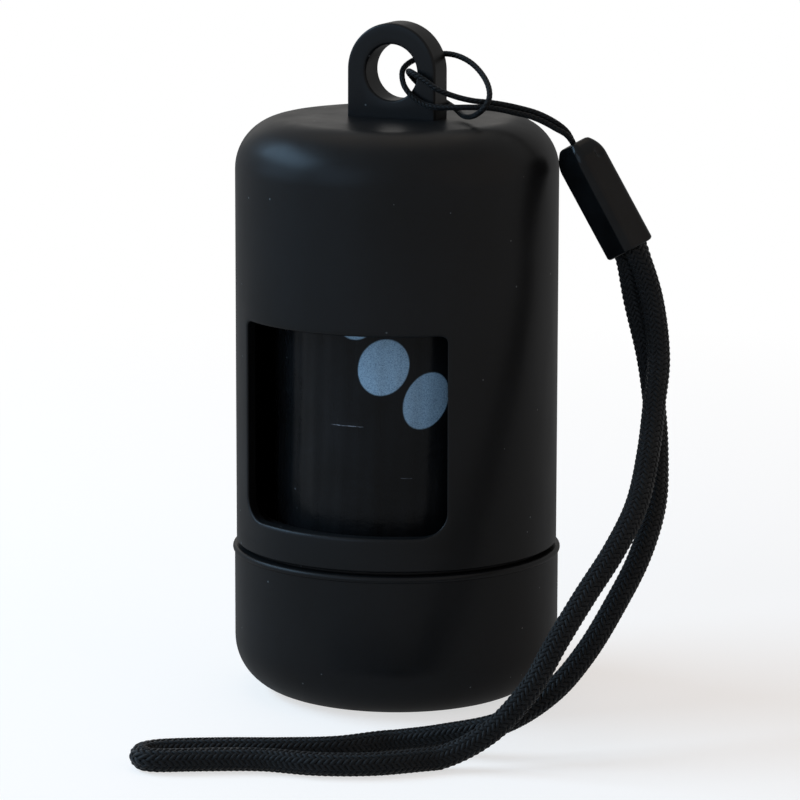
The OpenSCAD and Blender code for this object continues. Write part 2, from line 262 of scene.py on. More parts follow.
# How much of a cord's end the ferrule holds, and how far cords stay off the floor
HELD_LENGTH = 2.4
CORD_LIFT = 0.02

FERRULE_FRAME = (
    Matrix.Translation(FERRULE_TOP)
    @ Matrix.Rotation(math.radians(FERRULE_TURN), 4, "Z")
    @ Matrix.Rotation(math.radians(-FERRULE_TILT), 4, "Y")
    @ Matrix.Rotation(math.radians(FERRULE_ROLL), 4, "Z")
)


def ferrule_point(x, y, z):
    """A point given in the ferrule's frame, whose origin is the middle of its upper end."""
    return tuple(FERRULE_FRAME @ Vector((x, y, z)))


def hitch_route():
    """The thin cord, from the ferrule through the lug and back into the ferrule."""
    x = CORD_PITCH / 2 * math.cos(math.radians(CORD_ENDS_TURN))
    y = CORD_PITCH / 2 * math.sin(math.radians(CORD_ENDS_TURN))
    free = [(a, b, c + ROOF_Z) for a, b, c in HITCH_OUT + HITCH_TURN + HITCH_BACK]
    start = [ferrule_point(-x, -y, -CORD_BORE_DEPTH), ferrule_point(-x, -y, 0)]
    end = [ferrule_point(x, y, 0), ferrule_point(x, y, -CORD_BORE_DEPTH)]
    return start + free + end


def loop_route():
    """The braid, from the ferrule's pocket down along the floor and back up into it."""
    side = BRAID_PITCH / 2
    deep = POCKET_DEPTH - FERRULE_L
    start = [ferrule_point(side, 0, deep), ferrule_point(side, 0, -FERRULE_L)]
    end = [ferrule_point(-side, 0, -FERRULE_L), ferrule_point(-side, 0, deep)]
    return start + BRAID_DOWN + BRAID_FLOOR + BRAID_UP + end


def smooth_path(route, step, lowest=None):
    """A Catmull-Rom curve through the route, resampled at an even step."""
    p = np.array([route[0]] + list(route) + [route[-1]], float)
    fine = []
    for i in range(1, len(p) - 2):
        t = np.linspace(0, 1, ROUTE_STEPS, endpoint=False)[:, None]
        a, b, c, d = p[i - 1], p[i], p[i + 1], p[i + 2]
        fine.append(0.5 * (
            2 * b + (c - a) * t + (2 * a - 5 * b + 4 * c - d) * t ** 2
            + (3 * b - a - 3 * c + d) * t ** 3
        ))
    fine = np.vstack(fine + [p[-1:]])
    if lowest is not None:
        fine[:, 2] = np.maximum(fine[:, 2], lowest)
    run = np.concatenate([[0], np.cumsum(np.linalg.norm(np.diff(fine, axis=0), axis=1))])
    count = max(2, int(round(run[-1] / step)) + 1)
    at = np.linspace(0, run[-1], count)
    return np.stack([np.interp(at, run, fine[:, k]) for k in range(3)], 1), at


def path_axes(path):
    """Unit tangent and two cross directions at each point, carried without twist."""
    along = np.gradient(path, axis=0)
    along /= np.linalg.norm(along, axis=1)[:, None]
    side = np.cross(along[0], (0, 0, 1.0))
    side /= np.linalg.norm(side)
    sides = []
    for t in along:
        side = side - t * side.dot(t)
        side /= np.linalg.norm(side)
        sides.append(side)
    sides = np.array(sides)
    return along, sides, np.cross(along, sides)


def tube_faces(first, rings, sides):
    """Quads between rings of vertices, and a cap at each end."""
    faces = []
    for i in range(rings - 1):
        low = first + i * sides
        for k in range(sides):
            n = (k + 1) % sides
            faces.append((low + k, low + n, low + sides + n, low + sides + k))
    faces.append(tuple(first + k for k in reversed(range(sides))))
    faces.append(tuple(first + (rings - 1) * sides + k for k in range(sides)))
    return faces


# A yarn's half thickness and its wave, as shares of the cord's radius, and how much of its
# lane it fills
YARN_THICKNESS = 0.1
YARN_WAVE = 0.07
YARN_SPREAD = 0.95
YARN_SIDES = 6
CORE_SIDES = 12
# The plain core needs fewer rings than the path has
CORE_EVERY = 4
# How soon a held cord is round again, in radii from where the ferrule ends
EASE_RADII = 1.8
# Points between two points of a route, before the even resampling
ROUTE_STEPS = 24


def yarn_rings(path, at, frame_axes, radius, pitch, carriers, way, yarn):
    """The rings of one flat yarn, which winds one way and passes over two, under two."""
    side, up = frame_axes
    half = carriers // 2
    thick = radius * YARN_THICKNESS
    wave = radius * YARN_WAVE
    lean = math.atan(2 * math.pi * radius / pitch)
    wide = YARN_SPREAD * math.pi * radius / half * math.cos(lean)
    turn = way * 2 * math.pi * at / pitch + 2 * math.pi * yarn / half
    crossings = 2 * yarn + way * carriers * at / pitch - 0.5
    lift = way * np.cos(math.pi / 2 * crossings)
    radial = side * np.cos(turn)[:, None] + up * np.sin(turn)[:, None]
    centre = path + radial * (radius - thick - wave + wave * lift)[:, None]
    run = np.gradient(centre, axis=0)
    run /= np.linalg.norm(run, axis=1)[:, None]
    across = np.cross(radial, run)
    across /= np.linalg.norm(across, axis=1)[:, None]
    outward = np.cross(run, across)
    section = [2 * math.pi * (k + 0.5) / YARN_SIDES for k in range(YARN_SIDES)]
    return np.stack([
        centre + across * wide * math.cos(a) + outward * thick * math.sin(a) for a in section
    ], 1)


def squeezed(rings, path, grip, free):
    """Rings drawn in or out across the ferrule's two sides where it holds the cord: grip
    gives the two shares, and free is 0 where the cord is held and 1 where it is loose."""
    offset = rings - path[:, None, :]
    for axis, share in zip(FERRULE_FRAME.to_3x3().transposed(), grip):
        axis = np.array(axis)
        change = (share - 1) * (1 - free)
        rings = rings + (offset @ axis * change[:, None])[:, :, None] * axis
    return rings


def braided_cord(
    name, route, radius, pitch, carriers, step, grip, material, replaced,
):
    """Round braid of flat yarns, half of them winding each way, over a plain core."""
    path, at = smooth_path(route, step, radius + CORD_LIFT)
    _, side, up = path_axes(path)
    from_end = np.minimum(at, at[-1] - at)
    ease = np.clip((from_end - HELD_LENGTH) / (EASE_RADII * radius), 0, 1)
    free = ease * ease * (3 - 2 * ease)
    verts, faces, count = [], [], 0
    for way in (1, -1):
        for yarn in range(carriers // 2):
            rings = yarn_rings(path, at, (side, up), radius, pitch, carriers, way, yarn)
            verts.append(squeezed(rings, path, grip, free).reshape(-1, 3))
            faces += tube_faces(count, len(path), YARN_SIDES)
            count += len(verts[-1])
    core_r = radius * (1 - YARN_THICKNESS - 2 * YARN_WAVE)
    angles = [2 * math.pi * k / CORE_SIDES for k in range(CORE_SIDES)]
    rings = np.stack([path + (side * math.cos(a) + up * math.sin(a)) * core_r for a in angles], 1)
    rings = squeezed(rings, path, grip, free)[::CORE_EVERY]
    verts.append(rings.reshape(-1, 3))
    faces += tube_faces(count, len(rings), CORE_SIDES)
    piece = add_mesh(name, np.vstack(verts), faces, material, "shell", replaced)
    return piece


# ---- Tube with its window, and the lug ----

TURNS = 240
# The patch of wall round the window that is built by itself: columns to each side of the
# window's middle, lowest and highest point, rows, and rings from the window to its border
PATCH_HALF = 34
PATCH_LOW = 21.6
PATCH_HIGH = 52.6
PATCH_ROWS = 24
PATCH_RINGS = 3
# Above 1, the rings crowd towards the window
PATCH_CROWDING = 1.5
CORNER_STEPS = 5
WINDOW_ROUND = 0.55
ROUND_STEPS = 5
RIM_ROUND = 0.3
RIM_STEPS = 4
LEAD_IN = 0.4
WALL_STEPS = 8
SHOULDER_STEPS = 16
BORE_SHOULDER_STEPS = 10
# Radii of the rings that keep the flat roof and ceiling free of long faces
ROOF_RINGS = (0, 4, 8, 11.5)
CEILING_RINGS = (9, 0)


def window_outline():
    """Points round the window as (x, z), one per edge of the patch's border, starting at
    the middle of the foot's left corner and going right, up, left and down."""
    half, low, high = WINDOW_W / 2, SILL_Z, SILL_Z + WINDOW_H
    foot, top = CORNER_FOOT, CORNER_TOP
    corners = [
        (half - foot, low + foot, foot, -90), (half - top, high - top, top, 0),
        (-half + top, high - top, top, 90), (-half + foot, low + foot, foot, 180),
    ]
    sides = [2 * PATCH_HALF, PATCH_ROWS, 2 * PATCH_HALF, PATCH_ROWS]
    points = []
    for k in range(4):
        x0, z0, r0, a0 = corners[k - 1]
        x1, z1, r1, a1 = corners[k]
        leave = arc(x0, z0, r0, a0 + 45, a0 + 90, CORNER_STEPS)
        reach = arc(x1, z1, r1, a1, a1 + 45, CORNER_STEPS)
        points += leave[:-1] + line(leave[-1], reach[0], sides[k] - 2 * CORNER_STEPS) + reach[:-1]
    return np.array(points)


def on_tube(s, z, r):
    """A point of the tube's surface from its run round the tube, counted from -Y."""
    return (r * math.sin(s / r), -r * math.cos(s / r), z)


def unrolled(outline, r):
    """The outline as runs round the tube's surface of radius r, and heights."""
    return np.stack([r * np.arcsin(outline[:, 0] / r), outline[:, 1]], 1)


def grown(loop, distance):
    """A closed loop that runs anticlockwise, moved outwards."""
    along = np.roll(loop, -1, 0) - np.roll(loop, 1, 0)
    along /= np.linalg.norm(along, axis=1)[:, None]
    return loop + distance * np.stack([along[:, 1], -along[:, 0]], 1)


def eased(a, corner, b):
    """Rows of points that round the corner between a and b."""
    rows = []
    for i in range(ROUND_STEPS + 1):
        t = i / ROUND_STEPS
        rows.append((1 - t) ** 2 * a + 2 * t * (1 - t) * corner + t * t * b)
    return rows


def patch_border(row_of, rows):
    """Vertex numbers round the patch's border, in the window outline's order."""
    low, high = rows[0], rows[-1]
    right, left = PATCH_HALF, TURNS - PATCH_HALF
    columns = [(left + k) % TURNS for k in range(2 * PATCH_HALF + 1)]
    border = [row_of[low][c] for c in columns[:-1]]
    border += [row_of[r][right] for r in rows[:-1]]
    border += [row_of[high][c] for c in columns[:0:-1]]
    border += [row_of[r][left] for r in rows[:0:-1]]
    return border


def tube_profile():
    """The wall's profile, from the middle of the roof over the outside, round the rim and
    up the bore, with the numbers of the patch's first rows outside and inside."""
    bore_shoulder = SHOULDER_R - (SHELL_R - SHELL_BORE_R)
    shoulder_z = ROOF_Z - SHOULDER_R
    bore_shoulder_z = CEILING_Z - bore_shoulder
    patch = spaced(PATCH_LOW, PATCH_HIGH, PATCH_ROWS)
    above = spaced(PATCH_HIGH, shoulder_z, WALL_STEPS)[1:-1]
    bore_above = spaced(PATCH_HIGH, bore_shoulder_z, WALL_STEPS)[1:-1]
    profile = [(r, ROOF_Z) for r in ROOF_RINGS]
    profile += arc(SHELL_R - SHOULDER_R, shoulder_z, SHOULDER_R, 90, 0, SHOULDER_STEPS)
    profile += [(SHELL_R, z) for z in reversed(above)]
    outer_at = len(profile)
    profile += [(SHELL_R, z) for z in reversed(patch)]
    profile += arc(SHELL_R - RIM_ROUND, RIM_Z + RIM_ROUND, RIM_ROUND, 0, -90, RIM_STEPS)
    profile += [(SHELL_BORE_R + LEAD_IN, RIM_Z), (SHELL_BORE_R, RIM_Z + LEAD_IN)]
    inner_at = len(profile)
    profile += [(SHELL_BORE_R, z) for z in patch + bore_above]
    centre = SHELL_BORE_R - bore_shoulder
    profile += arc(centre, bore_shoulder_z, bore_shoulder, 0, 90, BORE_SHOULDER_STEPS)
    profile += [(r, CEILING_Z) for r in CEILING_RINGS]
    return profile, outer_at, inner_at


def without_patch(faces, row_of, rows):
    """The faces that don't lie in these rows of the patch."""
    columns = range(-PATCH_HALF, PATCH_HALF + 1)
    patch = {row_of[r][c % TURNS] for r in rows for c in columns}
    return [f for f in faces if not patch.issuperset(f)]


def add_row(verts, points):
    """Adds the points to verts and gives their numbers."""
    first = len(verts)
    verts += [np.array(p) for p in points]
    return list(range(first, len(verts)))


def fill_patch(verts, faces, border, flat, r, outside):
    """Adds the wall between the window and the patch's border, on the surface of radius r,
    and gives the numbers of the vertices along the window."""
    edge = grown(flat, WINDOW_ROUND)
    around = np.array([
        (r * math.atan2(verts[v][0], -verts[v][1]), verts[v][2]) for v in border
    ])
    rings = []
    for i in range(PATCH_RINGS):
        ring = edge + (around - edge) * (i / PATCH_RINGS) ** PATCH_CROWDING
        rings.append(add_row(verts, [on_tube(s, z, r) for s, z in ring]))
    rings.append(border)
    for a, b in zip(rings, rings[1:]):
        if outside:
            join_rings(faces, b, a)
        else:
            join_rings(faces, a, b)
    return rings[0]


def tube_mesh():
    """The revolved wall, with its patch round the window built anew inside and outside, and
    a rounded edge that joins the two through the wall."""
    profile, outer_at, inner_at = tube_profile()
    verts, faces, row_of = revolve(profile, TURNS)
    verts = [np.array(v) for v in verts]
    # The profile starts at the roof, so its faces look inwards
    faces = [f[::-1] for f in faces]
    outer_rows = list(range(outer_at + PATCH_ROWS, outer_at - 1, -1))
    inner_rows = list(range(inner_at, inner_at + PATCH_ROWS + 1))
    outline = window_outline()
    loops, sharp = [], []
    for r, rows in ((SHELL_R, outer_rows), (SHELL_BORE_R, inner_rows)):
        faces = without_patch(faces, row_of, rows)
        flat = unrolled(outline, r)
        border = patch_border(row_of, rows)
        loops.append(fill_patch(verts, faces, border, flat, r, r == SHELL_R))
        sharp.append(np.array([on_tube(s, z, r) for s, z in flat]))
    outer_edge, inner_edge = [np.array([verts[v] for v in loop]) for loop in loops]
    inward = np.array([0, WINDOW_ROUND, 0])
    rounding = eased(outer_edge, sharp[0], sharp[0] + inward)[1:]
    rounding += eased(sharp[1] - inward, sharp[1], inner_edge)[:-1]
    bands = [loops[0]] + [add_row(verts, row) for row in rounding] + [loops[1]]
    for a, b in zip(bands, bands[1:]):
        join_rings(faces, a, b)
    used = sorted({v for f in faces for v in f})
    number = {v: i for i, v in enumerate(used)}
    return [verts[v] for v in used], [tuple(number[v] for v in f) for f in faces]


LUG_POINTS = 120
LUG_EDGE = 0.35
LUG_EDGE_STEPS = 4
# How far the lug's legs reach down into the roof
LUG_BURIED = 1.2
# Where the rings on the lug's flat sides lie, between the hole and the outline
LUG_RINGS = (0.35, 0.5, 0.65)
# Keeps rays straight up or across from dividing by nothing
TINY = 1e-9


def lug_ray(a):
    """Points on the hole and on the outline at this angle."""
    ca, sa = math.cos(a), math.sin(a)
    hole = np.array([LUG_HOLE_R * ca, LUG_HOLE_Z + LUG_HOLE_R * sa])
    reach = LUG_W / 2
    if sa < 0:
        foot = LUG_ARCH_Z - ROOF_Z + LUG_BURIED
        reach = min(reach / max(abs(ca), TINY), foot / max(-sa, TINY))
    return hole, np.array([reach * ca, LUG_ARCH_Z + reach * sa])


def lug_mesh():
    """A plate with round edges about a flared hole: one closed loop of points for each
    step round the hole."""
    half = LUG_T / 2
    verts, loops = [], []
    for a in np.linspace(0, 2 * math.pi, LUG_POINTS, endpoint=False):
        hole, edge = lug_ray(a)
        out = (edge - hole) / np.linalg.norm(edge - hole)
        run = [
            (hole + out * (LUG_EDGE + x), half - LUG_EDGE + y)
            for x, y in arc(0, 0, LUG_EDGE, 180, 90, LUG_EDGE_STEPS)
        ]
        run += [(hole + (edge - hole) * t, half) for t in LUG_RINGS]
        run += [
            (edge - out * (LUG_EDGE - x), half - LUG_EDGE + y)
            for x, y in arc(0, 0, LUG_EDGE, 90, 0, LUG_EDGE_STEPS)
        ]
        front = [(x, -y, z) for (x, z), y in run]
        back = [(x, y, z) for (x, z), y in reversed(run)]
        loops.append(add_row(verts, front + back))
    faces = []
    for k in range(LUG_POINTS):
        join_rings(faces, loops[k], loops[(k + 1) % LUG_POINTS])
    return verts, faces


def make_tube(material):
    """The tube and its lug, which are one moulding."""
    verts, faces = tube_mesh()
    lug_verts, lug_faces = lug_mesh()
    first = len(verts)
    faces += [tuple(first + v for v in f) for f in lug_faces]
    piece = add_mesh(
        "tube_and_lug", verts + lug_verts, faces, material, "shell", "upper_shell"
    )
    even_normals(piece)
    return piece


# ---- Base cap ----

CAP_TURNS = 192
CAP_FLOOR = 2.0
CAP_INNER_FILLET = 3.0
# Radii of the rings that keep the flat underside free of long faces
CAP_FOOT_RINGS = (0, 5, 10, 13.6)
SPIGOT_R = 4.1
SPIGOT_TOP = SEAT_Z + 9.0
SPIGOT_TIP = 0.8
SPIGOT_BORE_R = 2.1
SEAT_R = 8.0
# Small roundings and bevels
BREAK = 0.2
FINE_BREAK = 0.1


def make_cap(material):
    """The cup with its bead, seam groove and neck, and the seat and spigot in it."""
    bead_x = CAP_R + BEAD_PROUD - BEAD_R
    bead_z = CAP_H - BEAD_R
    meet = math.degrees(math.acos((CAP_R - bead_x) / BEAD_R))
    fillet_top = CAP_FLOOR + CAP_INNER_FILLET
    profile = [(r, 0) for r in CAP_FOOT_RINGS]
    profile += arc(CAP_R - CAP_FILLET, CAP_FILLET, CAP_FILLET, -90, 0, 18)
    profile += line((CAP_R, CAP_FILLET + 0.5), (CAP_R, bead_z - 1.2), 6)
    profile += [(CAP_R, bead_z - 0.8)]
    profile += arc(bead_x, bead_z, BEAD_R, -meet, 90, 8)
    profile += [(SEAM_R + 0.25, CAP_H), (SEAM_R, CAP_H + FINE_BREAK), (SEAM_R, RIM_Z)]
    profile += [(NECK_R, RIM_Z), (NECK_R, RIM_Z + 0.3)]
    profile += [(NECK_R, NECK_TOP - LEAD_IN), (NECK_R - LEAD_IN, NECK_TOP)]
    profile += arc(NECK_BORE_R + BREAK, NECK_TOP - BREAK, BREAK, 90, 180, 3)
    profile += line((NECK_BORE_R, NECK_TOP - 0.6), (NECK_BORE_R, fillet_top), 5)
    profile += arc(NECK_BORE_R - CAP_INNER_FILLET, fillet_top, CAP_INNER_FILLET, 0, -90, 8)
    profile += [(SEAT_R + 0.3, CAP_FLOOR), (SEAT_R, CAP_FLOOR + BREAK)]
    profile += [(SEAT_R, SEAT_Z - BREAK), (SEAT_R - BREAK, SEAT_Z)]
    profile += [(SPIGOT_R + FINE_BREAK, SEAT_Z), (SPIGOT_R, SEAT_Z + FINE_BREAK)]
    profile += arc(SPIGOT_R - SPIGOT_TIP, SPIGOT_TOP - SPIGOT_TIP, SPIGOT_TIP, 0, 90, 6)
    profile += [(SPIGOT_BORE_R + BREAK, SPIGOT_TOP), (SPIGOT_BORE_R, SPIGOT_TOP - BREAK)]
    profile += [(SPIGOT_BORE_R, CAP_FLOOR), (0, CAP_FLOOR)]
    verts, faces, _ = revolve(profile, CAP_TURNS)
    piece = add_mesh("cap", verts, faces, material, "base", "base_cap")
    even_normals(piece, 40)
    return piece


# ---- Ferrule ----

FERRULE_EDGE = 1.2
FERRULE_TOP_EDGE = 0.7
FERRULE_FOOT = 0.4
SHOULDER_DRAW_R = 4.5
SHOULDER_DRAW_IN = 1.05
# Rounding between the upper end and the drawn-in sides
TOP_RIM = 0.2
CORD_BORE_R = 0.945
# The bore's rounded mouth, from its depth up: how far out, and height
BORE_MOUTH = [(0, -CORD_BORE_DEPTH), (0, -0.15), (0.05, -0.04), (0.15, 0)]
POCKET_WALL = 0.55
POCKET_CORNER = 0.8
MOUTH_RIM = 0.12
DIMPLE_R = 0.75
DIMPLE_DEPTH = 0.25
DIMPLE_DROP = 2.4
DIMPLE_ASIDE = 0.9
# Points along the sides towards +X, +Y, -X and -Y, and round each corner between them
SIDE_POINTS = (44, 14, 20, 14)
CORNER_POINTS = 9
# Rows down the shoulders, down to FINE_END and down the straight rest
SHOULDER_ROWS = 24
FINE_END = 3.5
FINE_ROWS = 6
STRAIGHT_ROWS = 8


def bar_ring(half_x, half_y, corner, z):
    """A rounded rectangle at height z, from its corner between -Y and +X."""
    centres = [
        (half_x - corner, corner - half_y, -90), (half_x - corner, half_y - corner, 0),
        (corner - half_x, half_y - corner, 90), (corner - half_x, corner - half_y, 180),
    ]
    turns = [arc(x, y, corner, start, start + 90, CORNER_POINTS) for x, y, start in centres]
    ring = []
    for k in range(4):
        ring += turns[k][:-1] + line(turns[k][-1], turns[(k + 1) % 4][0], SIDE_POINTS[k])
    return [(x, y, z) for x, y in ring]


def round_ring(radius, like, z):
    """A circle at height z with its points on the same rays as another ring's."""
    return [(radius * x / math.hypot(x, y), radius * y / math.hypot(x, y), z) for x, y, _ in like]


def ferrule_rings():
    """From the thin cord's bore over the upper end, down the outside and into the pocket."""
    half_x, half_y = FERRULE_W / 2, FERRULE_D / 2
    draw_l = math.sqrt(2 * SHOULDER_DRAW_R * SHOULDER_DRAW_IN - SHOULDER_DRAW_IN ** 2)
    body = bar_ring(half_x, half_y, FERRULE_EDGE, 0)
    rings = [round_ring(CORD_BORE_R + out, body, z) for out, z in BORE_MOUTH]

    def outside(inset, z):
        share = min(1, inset / SHOULDER_DRAW_IN)
        corner = FERRULE_EDGE + (FERRULE_TOP_EDGE - FERRULE_EDGE) * share
        return bar_ring(half_x - inset, half_y - inset, corner, z)

    rings.append(outside(SHOULDER_DRAW_IN + TOP_RIM, 0))
    rings.append(outside(SHOULDER_DRAW_IN + 0.3 * TOP_RIM, -0.25 * TOP_RIM))
    for z in spaced(0.7 * TOP_RIM, draw_l, SHOULDER_ROWS):
        inset = SHOULDER_DRAW_R - math.sqrt(SHOULDER_DRAW_R ** 2 - (draw_l - z) ** 2)
        rings.append(outside(inset, -z))
    straight_end = FERRULE_L - FERRULE_FOOT
    for z in spaced(draw_l, FINE_END, FINE_ROWS)[1:]:
        rings.append(outside(0, -z))
    for z in spaced(FINE_END, straight_end, STRAIGHT_ROWS)[1:]:
        rings.append(outside(0, -z))
    for x, z in arc(0, 0, FERRULE_FOOT, 0, -90, 6)[1:]:
        rings.append(outside(FERRULE_FOOT - x, z - straight_end))
    mouth_x, mouth_y = half_x - POCKET_WALL, half_y - POCKET_WALL
    rings.append(bar_ring(mouth_x + MOUTH_RIM, mouth_y + MOUTH_RIM, POCKET_CORNER, -FERRULE_L))
    rings.append(bar_ring(mouth_x, mouth_y, POCKET_CORNER, MOUTH_RIM - FERRULE_L))
    rings.append(bar_ring(mouth_x, mouth_y, POCKET_CORNER, POCKET_DEPTH - FERRULE_L))
    return rings


def make_ferrule(material):
    """The block that grips both cords, with a dimple in its outward side."""
    rings = ferrule_rings()
    points = np.array([p for ring in rings for p in ring])
    off = np.hypot(points[:, 1] - DIMPLE_ASIDE, points[:, 2] + DIMPLE_DROP) / DIMPLE_R
    facing = points[:, 0] > FERRULE_W / 2 - SHOULDER_DRAW_IN
    points[:, 0] -= np.where(facing, DIMPLE_DEPTH * np.clip(1 - off ** 2, 0, 1), 0)
    verts = [FERRULE_FRAME @ Vector(p) for p in points]
    count = len(rings[0])
    rows = [list(range(i * count, (i + 1) * count)) for i in range(len(rings))]
    faces = [tuple(rows[0]), tuple(reversed(rows[-1]))]
    for a, b in zip(rows, rows[1:]):
        join_rings(faces, b, a)
    piece = add_mesh("ferrule_bar", verts, faces, material, "shell", "ferrule")
    even_normals(piece, 45)
    return piece


# ---- Roll of bags ----

FILM_R = 15.62
FILM_THICK = 0.24
FILM_LOW = 4.4
FILM_HIGH = 66.6
# Degrees that the sheet leaves open at the back
FILM_GAP = 15
FILM_COLUMNS = 420
FILM_ROWS = 170
# The film's least lift off the roll, and the height over which its folds fade at each end
FILM_OFF = 0.1
FOLD_FADE = 2.5
# Creases in the film: run round the roll, height, half length, half width, depth, slope
CREASES = [
    (0.2, 37.6, 2.6, 0.10, 0.10, 0),
    (8.0, 31.0, 1.2, 0.12, 0.07, 0),
    (-6.5, 33.0, 2.2, 0.25, 0.06, 0.3),
    (4.0, 29.0, 3.5, 0.35, 0.05, -0.25),
    (11.5, 34.5, 2.0, 0.3, 0.06, 0.5),
    (-22, 44, 4, 0.2, 0.08, 0.1),
    (30, 26, 5, 0.25, 0.08, -0.15),
    (-35, 20, 3.5, 0.2, 0.09, 0.2),
    (38, 50, 4.5, 0.3, 0.08, 0.12),
]


def film_lift(run, z):
    """How far the film stands off the roll: soft upright folds, and a few sharp creases."""
    lift = 0.05 * np.sin(run * 0.55 + 0.5 * np.sin(z * 0.07))
    lift += 0.035 * np.sin(run * 1.45 + 1.3 + z * 0.035)
    lift += 0.03 * np.sin(z * 0.31 + 0.8 * np.sin(run * 0.21))
    lift += 0.02 * np.sin(run * 2.9 - z * 0.11)
    for at, height, length, width, depth, slope in CREASES:
        off = z - height - slope * (run - at)
        lift += depth * np.exp(-(off / width) ** 2) * np.exp(-((run - at) / length) ** 4)
    return lift + FILM_OFF


def make_film(material):
    """The outermost bag: a folded sheet round the roll, open where its edges lie."""
    start = -180 + FILM_GAP / 2
    angles = np.radians(np.linspace(start, -start, FILM_COLUMNS))
    heights = np.linspace(FILM_LOW, FILM_HIGH, FILM_ROWS)
    a, z = np.meshgrid(angles, heights, indexing="ij")
    run = a * FILM_R
    fade = np.clip(np.minimum(z - FILM_LOW, FILM_HIGH - z) / FOLD_FADE, 0, 1)
    outer = FILM_R + FILM_THICK + film_lift(run, z) * (0.3 + 0.7 * fade)
    inner = np.full_like(outer, FILM_R)
    shells = [np.stack([r * np.sin(a), -r * np.cos(a), z], -1) for r in (outer, inner)]
    count = FILM_COLUMNS * FILM_ROWS
    faces = []
    for i in range(FILM_COLUMNS - 1):
        for j in range(FILM_ROWS - 1):
            p = i * FILM_ROWS + j
            q = p + FILM_ROWS
            faces.append((p, q, q + 1, p + 1))
            faces.append((count + p, count + p + 1, count + q + 1, count + q))
    border = [i * FILM_ROWS for i in range(FILM_COLUMNS)]
    border += [(FILM_COLUMNS - 1) * FILM_ROWS + j for j in range(1, FILM_ROWS)]
    border += [i * FILM_ROWS + FILM_ROWS - 1 for i in range(FILM_COLUMNS - 2, -1, -1)]
    border += list(range(FILM_ROWS - 2, 0, -1))
    for k, v in enumerate(border):
        n = border[(k + 1) % len(border)]
        faces.append((v, count + v, count + n, n))
    piece = add_mesh(
        "outer_bag", np.reshape(shells, (-1, 3)), faces, material, "roll", "leading_bag",
    )
    even_normals(piece, 60)
    return piece


ROLL_TURNS = 180
# The layers' edges that show at the two ends of the roll
END_RING_PITCH = 0.55
END_RING_DEPTH = 0.16
# Room between the core and the wound bags
CORE_ROOM = 0.05


def make_roll(material):
    """The wound bags: smooth outside, with the layers' edges standing up at both ends."""
    inner = CORE_R + CORE_ROOM
    end = [(inner, -0.3)]
    for k in range(int((ROLL_R - CORE_R - 0.6) / END_RING_PITCH)):
        r = inner + 0.2 + k * END_RING_PITCH
        rise = END_RING_DEPTH * (0.4 + 0.6 * abs(math.sin(k * 2.3)))
        end += [(r, -rise), (r + 0.25 * END_RING_PITCH, 0), (r + 0.75 * END_RING_PITCH, 0)]
    end += [(ROLL_R - 0.35, -0.05), (ROLL_R - 0.1, -0.2), (ROLL_R, -0.5)]
    top = [(r, ROLL_HIGH + z) for r, z in end]
    side = line((ROLL_R, ROLL_HIGH - 1), (ROLL_R, ROLL_LOW + 1), 20)
    foot = [(r, ROLL_LOW - z) for r, z in reversed(end)]
    bore = line((inner, ROLL_LOW + 1), (inner, ROLL_HIGH - 1), 10)
    verts, faces = revolve_ring(top + side + foot + bore, ROLL_TURNS)
    piece = add_mesh("wound_bags", verts, faces, material, "roll", "bag_roll")
    even_normals(piece, 35)
    return piece


# ---- Materials ----

class Nodes:
    """A material under construction: makes nodes, links them and sets their values."""

    def __init__(self, name):
        self.material = bpy.data.materials.new(name)
        self.material.use_nodes = True
        self.tree = self.material.node_tree
        self.shader = self.tree.nodes["Principled BSDF"]
        self.coords = self.tree.nodes.new("ShaderNodeTexCoord")

    def add(self, kind, inputs=None, **settings):
        node = self.tree.nodes.new("ShaderNode" + kind)
        for key, value in settings.items():
            setattr(node, key, value)
        for key, value in (inputs or {}).items():
            self.put(node.inputs[key], value)
        return node

    def put(self, socket, value):
        if isinstance(value, bpy.types.NodeSocket):
            self.tree.links.new(value, socket)
        else:
            socket.default_value = value

    def math(self, operation, a, b=0.0):
        return self.add("Math", {0: a, 1: b}, operation=operation).outputs[0]

    def noise(self, vector, scale, detail=2.0, rough=0.5):
        inputs = {"Vector": vector, "Scale": scale, "Detail": detail, "Roughness": rough}
        return self.add("TexNoise", inputs).outputs["Fac"]

    def ramp(self, value, low, high, to_low=0.0, to_high=1.0):
        inputs = {
            "Value": value, "From Min": low, "From Max": high, "To Min": to_low, "To Max": to_high,
        }
        return self.add("MapRange", inputs).outputs["Result"]

    def mix(self, share, a, b):
        node = self.add("Mix", data_type="RGBA")
        self.put(node.inputs["Factor"], share)
        self.put(node.inputs["A"], a)
        self.put(node.inputs["B"], b)
        return node.outputs["Result"]

    def rotated(self, vector, angle):
        inputs = {"Vector": vector, "Angle": angle}
        return self.add("VectorRotate", inputs, rotation_type="Z_AXIS").outputs[0]

    def stretched(self, vector, x, y, z):
        return self.add("Mapping", {"Vector": vector, "Scale": (x, y, z)}).outputs[0]

    def bump(self, height, distance, strength=1.0, normal=None):
        node = self.add("Bump", {"Height": height, "Distance": distance, "Strength": strength})
        if normal is not None:
            self.put(node.inputs["Normal"], normal)
        return node.outputs[0]

    def set(self, **values):
        names = {
            "color": "Base Color", "roughness": "Roughness", "normal": "Normal",
            "specular": "Specular IOR Level", "sheen": "Sheen Weight",
            "sheen_roughness": "Sheen Roughness", "coat": "Coat Weight",
            "coat_roughness": "Coat Roughness",
        }
        for key, value in values.items():
            self.put(self.shader.inputs[names[key]], value)
        return self.material


# How much of a clear skin the mouldings and the ferrule have
SATIN = 0.18
GLOSS = 0.19
DUST = (0.30, 0.30, 0.29, 1)
FILM_DUST = (0.32, 0.31, 0.31, 1)
